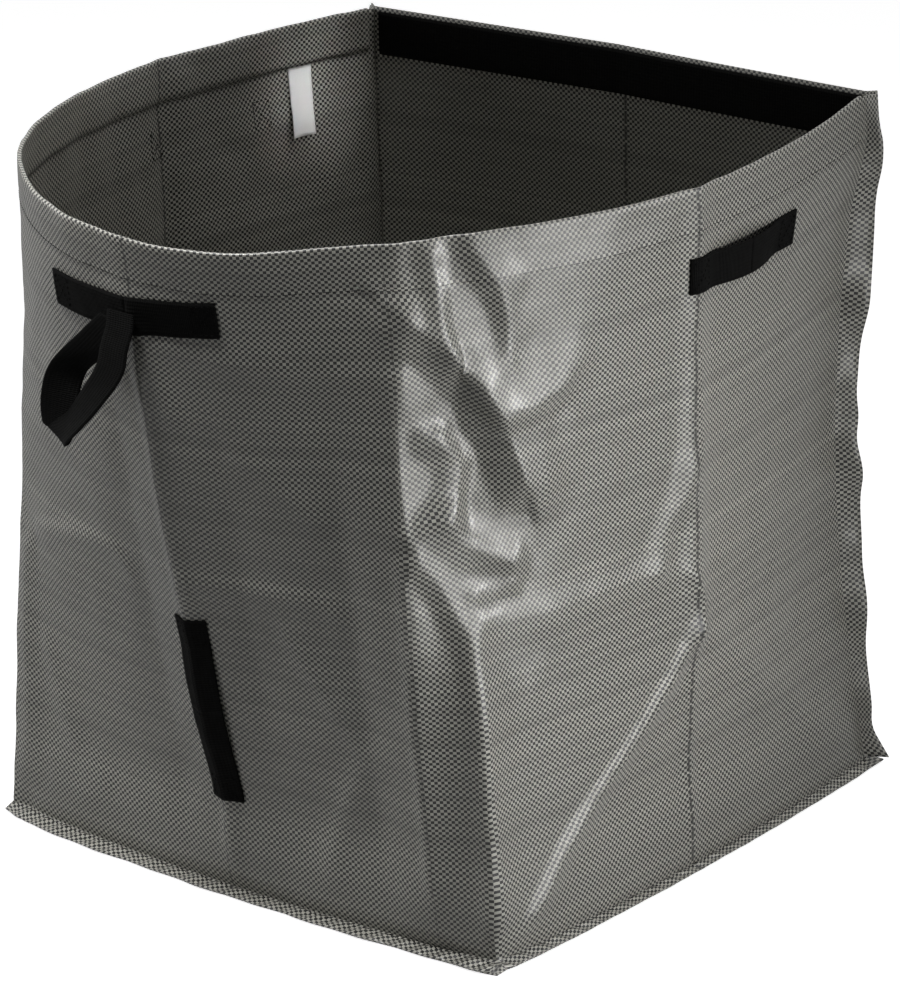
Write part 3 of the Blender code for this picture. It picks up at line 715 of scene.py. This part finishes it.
def base_sheet(look):
    """The base, flat inside and sewn to the walls in a lip that stands just off the ground."""
    half = HALF_BASE + BASE_LIP
    lines = joined(spread(-half, -HALF_BASE, CELL_ACROSS), spread(-HALF_BASE, HALF_BASE, CELL),
                   spread(HALF_BASE, half, CELL_ACROSS))
    lowest = CLOTH / 2

    def place(x, y):
        outside = max(abs(x), abs(y)) - HALF_BASE
        below = SEAM_HEIGHT + foot_bow(x, y).z - CLOTH - LAYER_GAP
        if outside > 0:
            z = lip_height(x, y, outside) - CLOTH - LAYER_GAP
        else:
            z = lowest + (below - lowest) * smoothstep(-BASE_SLOPES, 0, outside)
        plan = lip_plan(stretched(x, BASE_LIP_SHARE), stretched(y, BASE_LIP_SHARE))
        return Vector((plan.x, plan.y, max(z, lowest)))

    mesh = cloth_grid(lines, lines, place, lambda x, y: (x, y))
    base = finished("base_sheet", mesh, look, "bag", CLOTH)
    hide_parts("base_cloth")


# Hem, strip, band and label


def springy_strip(look):
    inside = CLOTH / 2 + LAYER_GAP + STRIP / 2
    start = (HEM_SETBACK + STRIP_SHORT_OF_HEM) / BASE_SIDE
    foot = HEM_FOOT + HEM_CLOSED + LAYER_GAP

    def in_hem(place, height):
        return wall_point(place, height) - rim_outward(place).to_3d() * inside

    columns = spread(start, WALLS - start, CELL_STRIP / BASE_SIDE)
    mesh = cloth_grid(columns, spread(foot, WALL_TOP, CELL_STRIP), in_hem,
                      lambda place, height: (place * BASE_SIDE, height))
    strip = finished("springy_strip", mesh, look, "bag", STRIP)
    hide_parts("rim_strip")


def rim_webbing(look):
    inside = CLOTH / 2 + LAYER_GAP + WEB / 2
    short = BAND_SHORT_OF_SEAM / BASE_SIDE
    top = RIM_HEIGHT - BAND_BELOW_RIM

    def on_band(share, height):
        return rear_point(share, height) - Vector((0, inside, 0))

    columns = spread(short, 1 - short, CELL / BASE_SIDE)
    mesh = cloth_grid(columns, spread(top - BAND_WIDTH, top, CELL_STRAP), on_band,
                      lambda share, height: (share * BASE_SIDE, height - top))
    band = finished("rim_webbing", mesh, look, "bag", WEB)
    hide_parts("rear_band")


def bare_label(look):
    """Bare label sewn in under the hem, which hangs a little askew."""
    middle = WALLS - LABEL_FROM_REAR_SEAM / BASE_SIDE
    half = LABEL_WIDTH / 2 / BASE_SIDE
    top = HEM_FOOT - LAYER_GAP - CLOTH / 2

    def on_wall(place, down):
        outward = wall_outward(place, top - down)
        curl = LABEL_CURL * (down / LABEL_LENGTH) ** 1.5
        cupped = LABEL_CUPPED * ((place - middle) / half) ** 2 * down / LABEL_LENGTH
        place -= LABEL_LEAN * down / LABEL_LENGTH / BASE_SIDE
        return wall_point(place, top - down) - outward * (CLOTH / 2 + WEB_SEAT + LABEL / 2 + (curl + cupped))

    columns = spread(middle - half, middle + half, CELL_STRAP)
    mesh = cloth_grid(columns, spread(0, LABEL_LENGTH, CELL_ACROSS), on_wall,
                      lambda place, down: (place * BASE_SIDE, down))
    label = finished("bare_label", mesh, look, "bag", LABEL)
    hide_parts("sewn_label")


# Webbing handles


def strap_on(name, look, body, length, point):
    """Webbing whose middle plane is point(along, across), along from 0 to its length in metres."""
    half = WEB_WIDTH / 2
    mesh = cloth_grid(spread(0, length, CELL_STRAP), spread(-half, half, CELL_ACROSS), point,
                      lambda along, across: (along, across))
    return finished(name, mesh, look, body, WEB)


def sew(threads, at, length):
    """Adds a row of stitches along at(distance), each a slim closed grain of thread."""
    count = int(length / STITCH_PITCH)
    for i in range(count):
        middle = (i + 0.5) * length / count
        start, end = at(middle - STITCH / 2), at(middle + STITCH / 2)
        turn = (end - start).to_track_quat("X", "Z").to_matrix().to_4x4()
        size = Matrix.Diagonal((STITCH / 2, THREAD, THREAD, 1))
        bmesh.ops.create_icosphere(
            threads, subdivisions=1, radius=1, matrix=Matrix.Translation((start + end) / 2) @ turn @ size
        )


def sew_box(threads, face):
    """Adds the boxed cross that holds a strap's end, on face(along, across)."""
    near, far = STITCH_INSET, SEWN_LENGTH - STITCH_INSET
    low, high = STITCH_INSET - WEB_WIDTH / 2, WEB_WIDTH / 2 - STITCH_INSET
    corners = ((near, low), (far, low), (far, high), (near, high))
    crossed = [(corners[0], corners[2]), (corners[1], corners[3])]
    for start, end in list(zip(corners, corners[1:] + corners[:1])) + crossed:
        length = math.dist(start, end)

        def at(distance):
            share = distance / length
            return face(start[0] + (end[0] - start[0]) * share, start[1] + (end[1] - start[1]) * share)

        sew(threads, at, length)


def sew_end(threads, point, outward):
    """Boxed crosses on both sides of the cloth under one strap end."""
    outside = outward * (WEB / 2 + THREAD_OUT)
    inside = outward * (CLOTH + WEB_SEAT + WEB / 2 + THREAD / 2)
    sew_box(threads, lambda along, across: point(along, across) + outside)
    sew_box(threads, lambda along, across: point(along, across) - inside)


def sew_hem(threads):
    """The hem's seam, seen outside and inside."""
    past_end, up_outside, up_inside = HEM_STITCHES
    start = HEM_SETBACK + past_end
    length = WALLS * BASE_SIDE - 2 * start

    def outside(distance):
        place = (start + distance) / BASE_SIDE
        out = wall_outward(place, HEM_FOOT) * (CLOTH / 2 + THREAD_OUT)
        return wall_point(place, HEM_FOOT + up_outside) + out

    def inside(distance):
        place = (start + distance) / BASE_SIDE
        depth = 1.5 * CLOTH + LAYER_GAP + THREAD
        return wall_point(place, HEM_FOOT + up_inside) - rim_outward(place).to_3d() * depth

    sew(threads, outside, length)
    sew(threads, inside, length)


def sew_base(threads):
    """The seam that holds the base, on top of its lip."""
    for dx, dy in ((1, 0), (0, -1), (-1, 0), (0, 1)):

        def at(distance):
            along = distance - HALF_BASE
            beyond = HALF_BASE + LIP_STITCHED
            x, y = dx * beyond + dy * along, dy * beyond + dx * along
            plan = lip_plan(x, y)
            return Vector((plan.x, plan.y, lip_height(x, y, LIP_STITCHED) + CLOTH / 2 + THREAD_OUT))

        sew(threads, at, BASE_SIDE)


def half_strap(side, end, look, threads, length, slack, outward, at):
    """Half of a strap that hangs off the cloth.

    at(from_middle, across) gives the strap's place and height on the cloth.
    """
    free = length / 2 - SEWN_LENGTH

    def point(along, across):
        from_middle = length / 2 - along
        bow = slack * math.cos(math.pi / 2 * min(from_middle / free, 1)) ** 1.2
        return wall_point(*at(from_middle, across)) + outward * (WEB_OUT + bow)

    half = strap_on(f"{side}_handle_{end}_half", look, None, length / 2, point)
    sew_end(threads, point, outward)
    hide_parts(f"{side}_handle_{end}_tab", f"{side}_handle_strap")
    start, finish = point(SEWN_LENGTH, 0), point(SEWN_LENGTH + free * BENDS_OVER, 0)
    tuple(start)
    tuple(finish)
    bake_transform(half)


def carry_handle(side, behind_fold, look, threads):
    """A handle across a side wall, as two halves that meet in its middle."""
    middle_height = RIM_HEIGHT - CARRY_BELOW_RIM - WEB_WIDTH / 2
    turn = 1 if side == "right" else -1
    middle = SIDE_FOLD - behind_fold / BASE_SIDE
    middle = middle if side == "right" else WALLS - middle
    outward = wall_outward(middle, middle_height)
    for end, sign in (("rear", -1), ("front", 1)):

        def at(from_middle, across):
            return middle + turn * sign * from_middle / BASE_SIDE, middle_height + across

        half_strap(side, end, look, threads, CARRY_LENGTH, CARRY_SLACK, outward, at)


def tipping_handle(look, threads):
    """The upright handle low on the front wall, as two halves."""
    centre = FRONT_FOLD + (TIPPING_PAST_FOLD - WEB_WIDTH / 2) / BASE_SIDE
    middle_height = TIPPING_FOOT + TIPPING_LENGTH / 2
    outward = wall_outward(centre, middle_height)
    for end, sign in (("lower", -1), ("upper", 1)):

        def at(from_middle, across):
            return centre + across / BASE_SIDE, middle_height + sign * from_middle

        half_strap("tipping", end, look, threads, TIPPING_LENGTH, TIPPING_SLACK, outward, at)


def curve_through(points, steps):
    """Points of a smooth curve through the given ones."""
    path = []
    last = len(points) - 1
    for i in range(last):
        before, start, end, after = (points[min(max(i + k, 0), last)] for k in (-1, 0, 1, 2))
        for step in range(steps):
            t = step / steps
            path.append(
                0.5 * (2 * start + (end - before) * t + (2 * before - 5 * start + 4 * end - after) * t * t
                       + (3 * start - before - 3 * end + after) * t**3)
            )
    return path + [points[-1]]


def pull_handle(look, threads):
    """The long handle at the front fold: two runs on the wall, and the slack that hangs between them."""
    top = RIM_HEIGHT - PULL_BELOW_RIM
    middle = FRONT_FOLD + PULL_LEFT_OF_FOLD / BASE_SIDE
    for side, sign, span, tilt in (
        ("left", 1, PULL_LEFT_SPAN, PULL_LOW - PULL_LEFT_LOW),
        ("right", -1, PULL_RIGHT_SPAN, PULL_LOW + PULL_RIGHT_HIGH),
    ):

        def point(along, across):
            from_fold = span - along
            place = middle + sign * from_fold / BASE_SIDE
            height = top - WEB_WIDTH / 2 - PULL_LOW + tilt * from_fold / span + across
            return wall_point(place, height) + wall_outward(place, height) * WEB_OUT

        run = strap_on(f"pull_handle_{side}_half", look, "bag", span, point)
        sew_end(threads, point, wall_outward(middle + sign * span / BASE_SIDE, top))
        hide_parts(f"pull_handle_{side}_run")

    path, widths = (curve_through([Vector(row[i]) for row in SLACK_LINE], SLACK_STEPS) for i in (0, 1))
    lengths = [0]
    for before, after in zip(path, path[1:]):
        lengths.append(lengths[-1] + (after - before).length)

    def loop_point(i, across):
        return path[i] + widths[i].normalized() * across

    rows = spread(-WEB_WIDTH / 2, WEB_WIDTH / 2, CELL_ACROSS)
    mesh = cloth_grid(range(len(path)), rows, loop_point, lambda i, across: (lengths[i], across))
    loop = finished("pull_handle_slack", mesh, look, None, WEB)
    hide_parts("pull_handle_loop")
    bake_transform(loop)


# Materials


def new_group(name, values, outputs):
    """A node group that reads cloth metres and these values, with its input and output nodes."""
    group = bpy.data.node_groups.new(name, "ShaderNodeTree")
    group.interface.new_socket(name="Cloth", in_out="INPUT", socket_type="NodeSocketVector")
    for label, value in values.items():
        socket = group.interface.new_socket(name=label, in_out="INPUT", socket_type="NodeSocketFloat")
        socket.default_value = value
    for label in outputs:
        group.interface.new_socket(name=label, in_out="OUTPUT", socket_type="NodeSocketFloat")
    return group, group.nodes.new("NodeGroupInput"), group.nodes.new("NodeGroupOutput")


def new_look(name):
    """A material with its nodes and its shader."""
    look = bpy.data.materials.new(name)
    look.use_nodes = True
    return look, look.node_tree, look.node_tree.nodes["Principled BSDF"]


def node(tree, kind, settings=None, **inputs):
    made = tree.nodes.new("ShaderNode" + kind)
    for key, value in (settings or {}).items():
        setattr(made, key, value)
    wire_all(tree, made, **inputs)
    return made


def wire(tree, made, key, value):
    socket = made.inputs[key]
    if isinstance(value, bpy.types.NodeSocket):
        tree.links.new(value, socket)
    else:
        socket.default_value = value


def wire_all(tree, made, **inputs):
    for key, value in inputs.items():
        wire(tree, made, key.replace("_", " "), value)


def maths(tree, operation, *values, kind="Math"):
    made = node(tree, kind, {"operation": operation})
    for i, value in enumerate(values):
        wire(tree, made, i, value)
    return made.outputs[0]


def times(tree, first, second):
    return maths(tree, "MULTIPLY", first, second)


def blend_colour(tree, share, first, second, kind="MIX"):
    made = node(tree, "Mix", {"data_type": "RGBA", "blend_type": kind})
    for key, value in ((0, share), (6, first), (7, second)):
        wire(tree, made, key, value)
    return made.outputs[2]


def grain(tree, coords, scale, detail, output="Fac"):
    return node(tree, "TexNoise", Vector=coords, Scale=scale, Detail=detail).outputs[output]


def cloth_metres(tree):
    return node(tree, "UVMap", {"uv_map": "cloth"}).outputs["UV"]


def bumped(tree, shader, height, distance, strength):
    bump = node(tree, "Bump", Height=height, Distance=distance, Strength=strength)
    wire(tree, shader, "Normal", bump.outputs["Normal"])


def weave_group():
    """Flat black and pale tapes woven over and under each other, read from cloth metres."""
    tapes = {"Across": WEAVE_ACROSS, "Up": WEAVE_UP}
    group, start, end = new_group("tape weave", tapes, ("Pale", "Height", "Tape"))
    parts = node(group, "SeparateXYZ", Vector=start.outputs["Cloth"])
    across = maths(group, "DIVIDE", parts.outputs["X"], start.outputs["Across"])
    up = maths(group, "DIVIDE", parts.outputs["Y"], start.outputs["Up"])
    column, row = maths(group, "FLOOR", across), maths(group, "FLOOR", up)
    pale = maths(group, "FLOORED_MODULO", maths(group, "ADD", column, row), 2.0)
    u, v = maths(group, "FRACT", across), maths(group, "FRACT", up)
    domes = (maths(group, "SINE", times(group, share, math.pi)) for share in (u, v))
    dome = times(group, *(maths(group, "POWER", each, 0.5) for each in domes))
    upright = times(group, column, maths(group, "SUBTRACT", 1.0, pale))
    number = node(group, "CombineXYZ", X=upright, Y=times(group, row, pale), Z=pale)
    shade = node(group, "TexWhiteNoise", {"noise_dimensions": "3D"}, Vector=number.outputs[0])
    wire_all(group, end, Pale=pale, Height=dome, Tape=shade.outputs["Value"])
    return group


def crease_shade_group():
    """Painted shade: dark broken lines where the cloth is creased hard, read from cloth metres."""
    group, start, end = new_group("worn folds", {}, ["Worn"])
    parts = node(group, "SeparateXYZ", Vector=start.outputs["Cloth"])
    run, height = parts.outputs["X"], parts.outputs["Y"]
    up_only = node(group, "CombineXYZ", X=0.0, Y=height, Z=0.0).outputs[0]
    wander = grain(group, up_only, 22.0, 2.0)
    dashes = grain(group, up_only, 260.0, 1.0)
    run = maths(group, "ADD", run, maths(group, "MULTIPLY_ADD", wander, CREASE_SHADE_SWAY, -CREASE_SHADE_SWAY / 2))
    strongest = 0.0
    # each line of painted shade, strongest on its crease and fading to each side
    for line, width, strength in CREASE_SHADE_LINES:
        away = maths(group, "ABSOLUTE", maths(group, "SUBTRACT", run, line))
        near = maths(group, "MAXIMUM", maths(group, "MULTIPLY_ADD", away, -1 / width, 1.0), 0.0)
        strongest = maths(group, "MAXIMUM", strongest, times(group, near, strength))
    broken = times(group, strongest, maths(group, "GREATER_THAN", dashes, 0.44))
    wire_all(group, end, Worn=broken)
    return group


def woven_look(weave, folds):
    look, tree, shader = new_look("laminated woven cloth")
    coords = cloth_metres(tree)
    drift = grain(tree, coords, 14.0, 3.0, "Color")
    centred = maths(tree, "SUBTRACT", drift, (0.5, 0.5, 0.5), kind="VectorMath")
    warped = maths(tree, "MULTIPLY_ADD", centred, (0.0045, 0.0045, 0), coords, kind="VectorMath")
    tapes = node(tree, "Group", {"node_tree": weave}, Cloth=warped)
    creased = node(tree, "Group", {"node_tree": folds}, Cloth=coords)
    place = node(tree, "TexCoord").outputs["Object"]
    dust = grain(tree, place, 9.0, 5.0)
    shade = maths(tree, "MULTIPLY_ADD", tapes.outputs["Tape"], 0.3, 0.85)
    pale = blend_colour(tree, 1.0, (0.47, 0.461, 0.412, 1), shade, "MULTIPLY")
    black = blend_colour(tree, 1.0, (0.005, 0.005, 0.0048, 1), shade, "MULTIPLY")
    colour = blend_colour(tree, tapes.outputs["Pale"], black, pale)
    dusty = blend_colour(tree, times(tree, dust, 0.03), colour, (0.16, 0.155, 0.135, 1))
    # painted shade: the hard creases are darkened in dashes
    painted_shade = blend_colour(tree, creased.outputs["Worn"], dusty, (0.006, 0.006, 0.006, 1))
    rough = maths(tree, "MULTIPLY_ADD", dust, 0.3, 0.28)
    wire_all(tree, shader, Base_Color=painted_shade, Roughness=rough, Specular_IOR_Level=0.55, Coat_Weight=0.55,
             Coat_Roughness=0.24)
    film = grain(tree, place, 60.0, 3.0)
    bumped(tree, shader, maths(tree, "MULTIPLY_ADD", film, 1.6, tapes.outputs["Height"]), 0.00022, 0.55)
    return look


def webbing_look():
    look, tree, shader = new_look("ribbed black webbing")
    coords = cloth_metres(tree)
    parts = node(tree, "SeparateXYZ", Vector=coords)
    rib = maths(tree, "SINE", times(tree, parts.outputs["X"], 2 * math.pi / RIB_PITCH))
    cord = maths(tree, "SINE", times(tree, parts.outputs["Y"], 2 * math.pi / CORD_PITCH))
    height = maths(tree, "ADD", rib, times(tree, cord, 0.6))
    # painted shade: the colour follows the ribs' height, darker in the grooves and lighter on the ribs' tops
    share = maths(tree, "MULTIPLY_ADD", height, 0.2, 0.4)
    colour = blend_colour(tree, share, (0.001, 0.001, 0.001, 1), (0.006, 0.006, 0.0056, 1))
    dust = grain(tree, coords, 90.0, 3.0)
    rough = maths(tree, "MULTIPLY_ADD", dust, 0.2, 0.55)
    wire_all(tree, shader, Base_Color=colour, Roughness=rough, Specular_IOR_Level=0.05)
    bumped(tree, shader, height, 0.0003, 0.6)
    return look


def plain_look(name, first, second, scale, roughness, depth):
    """A material of two close colours mixed by fine noise, which also roughens it."""
    look, tree, shader = new_look(name)
    coords = cloth_metres(tree)
    spots = grain(tree, coords, scale, 5.0)
    rough = maths(tree, "MULTIPLY_ADD", spots, 0.2, roughness)
    wire_all(tree, shader, Base_Color=blend_colour(tree, spots, first, second), Roughness=rough)
    bumped(tree, shader, spots, depth, 0.5)
    return look


# Studio


def camera():
    level = Vector((math.cos(AZIMUTH), math.sin(AZIMUTH), 0))
    back = Vector((math.sin(AZIMUTH) * math.cos(ELEVATION), -math.cos(AZIMUTH) * math.cos(ELEVATION),
                   math.sin(ELEVATION)))
    rise = back.cross(level)
    right = level * math.cos(ROLL) + rise * math.sin(ROLL)
    up = rise * math.cos(ROLL) - level * math.sin(ROLL)
    data = bpy.data.cameras.new("camera")
    data.lens = LENS
    data.sensor_width = SENSOR
    data.clip_start, data.clip_end = NEAR_CLIP, FAR_CLIP
    seen = placed("camera", data)
    seen.matrix_world = Matrix((right, up, back)).transposed().to_4x4()
    seen.location = back * CAMERA_DISTANCE + right * CAMERA_RIGHT + up * CAMERA_UP
    bpy.context.scene.camera = seen


def lamp(name, place, towards, width, height, watts, spread_degrees=180):
    data = bpy.data.lights.new(name, "AREA")
    data.spread = math.radians(spread_degrees)
    data.shape = "RECTANGLE"
    data.size, data.size_y = width, height
    data.energy = watts
    made = placed(name, data)
    made.location = place
    made.rotation_euler = (Vector(towards) - Vector(place)).to_track_quat("-Z", "Y").to_euler()


def white_when_seen(tree, plain, seen_shader, target, in_gloss):
    """Shows one shader to the camera, also through glass, and at a share in gloss, else the plain one."""
    path = node(tree, "LightPath")
    seen = maths(tree, "MAXIMUM", path.outputs["Is Camera Ray"], path.outputs["Is Transmission Ray"])
    seen = maths(tree, "MAXIMUM", seen, times(tree, path.outputs["Is Glossy Ray"], in_gloss))
    mix = node(tree, "MixShader")
    for key, socket in enumerate((seen, plain, seen_shader)):
        wire(tree, mix, key, socket)
    tree.links.new(mix.outputs["Shader"], target)


def floor_look():
    """Pale floor that is seen white where it is lit and keeps the bag's shadow."""
    pale, tree, shader = new_look("pale floor")
    wire_all(tree, shader, Base_Color=(0.35, 0.35, 0.35, 1), Roughness=0.9)
    glow = node(tree, "Emission", Color=(1, 1, 1, 1), Strength=0.87)
    matt = node(tree, "BsdfDiffuse", Color=(0.5, 0.5, 0.5, 1))
    both = node(tree, "AddShader")
    wire(tree, both, 0, glow.outputs["Emission"])
    wire(tree, both, 1, matt.outputs["BSDF"])
    target = tree.nodes["Material Output"].inputs["Surface"]
    white_when_seen(tree, shader.outputs["BSDF"], both.outputs["Shader"], target, FLOOR_IN_GLOSS)
    return pale


def studio():
    mesh = bmesh.new()
    bmesh.ops.create_grid(mesh, x_segments=1, y_segments=1, size=FLOOR_HALF)
    data = bpy.data.meshes.new("floor")
    mesh.to_mesh(data)
    mesh.free()
    floor = placed("floor", data)
    data.materials.append(floor_look())

    world = bpy.data.worlds.new("studio")
    bpy.context.scene.world = world
    world.use_nodes = True
    tree = world.node_tree
    dim = tree.nodes["Background"]
    wire_all(tree, dim, Color=(0.95, 0.97, 1, 1), Strength=0.055)
    white = node(tree, "Background", Color=(1, 1, 1, 1), Strength=1.0)
    target = tree.nodes["World Output"].inputs["Surface"]
    white_when_seen(tree, dim.outputs["Background"], white.outputs["Background"], target, ROOM_IN_GLOSS)
    bpy.context.scene.view_settings.view_transform = "Standard"

    lamp("right softbox", (0.84, -0.08, 0.34), (0.25, -0.2, 0.27), 0.35, 0.6, 1.25, 120)
    lamp("rear right softbox", (1.7, 0.8, 0.64), (0.2, -0.25, 0.4), 0.34, 0.3, 0.42, 40)
    lamp("left softbox", (-2.4, -0.8, 0.8), (0, 0, 0.3), 1.2, 1.6, 9)
    lamp("top softbox", (0, 0.45, 2.6), (0, 0.1, 0.3), 1.6, 1, 32)
    lamp("label lamp", (0.75, 0, 1.45), (-0.262, 0.15, 0.52), 0.05, 0.05, 0.011, 5.5)
    lamp("front top softbox", (-0.2, -0.8, 1.7), (-0.05, -0.27, 0), 0.4, 0.3, 1.1, 40)


camera()
studio()
cloth = woven_look(weave_group(), crease_shade_group())
webbing = webbing_look()
plastic = plain_look("pale springy strip", (0.6, 0.66, 0.58, 1), (0.52, 0.58, 0.51, 1), 120.0, 0.35, 0.00005)
white = plain_look("white label tape", (0.95, 0.95, 0.94, 1), (0.86, 0.86, 0.86, 1), 900.0, 0.5, 0.0001)
woven_walls(cloth)
flat_wall(cloth)
base_sheet(cloth)
springy_strip(plastic)
rim_webbing(webbing)
bare_label(white)
threads = bmesh.new()
carry_handle("right", RIGHT_BEHIND_FOLD, webbing, threads)
carry_handle("left", LEFT_BEHIND_FOLD, webbing, threads)
tipping_handle(webbing, threads)
pull_handle(webbing, threads)
sew_hem(threads)
sew_base(threads)
threads.loops.layers.uv.new("cloth")
finished("stitching", threads, webbing, "bag")
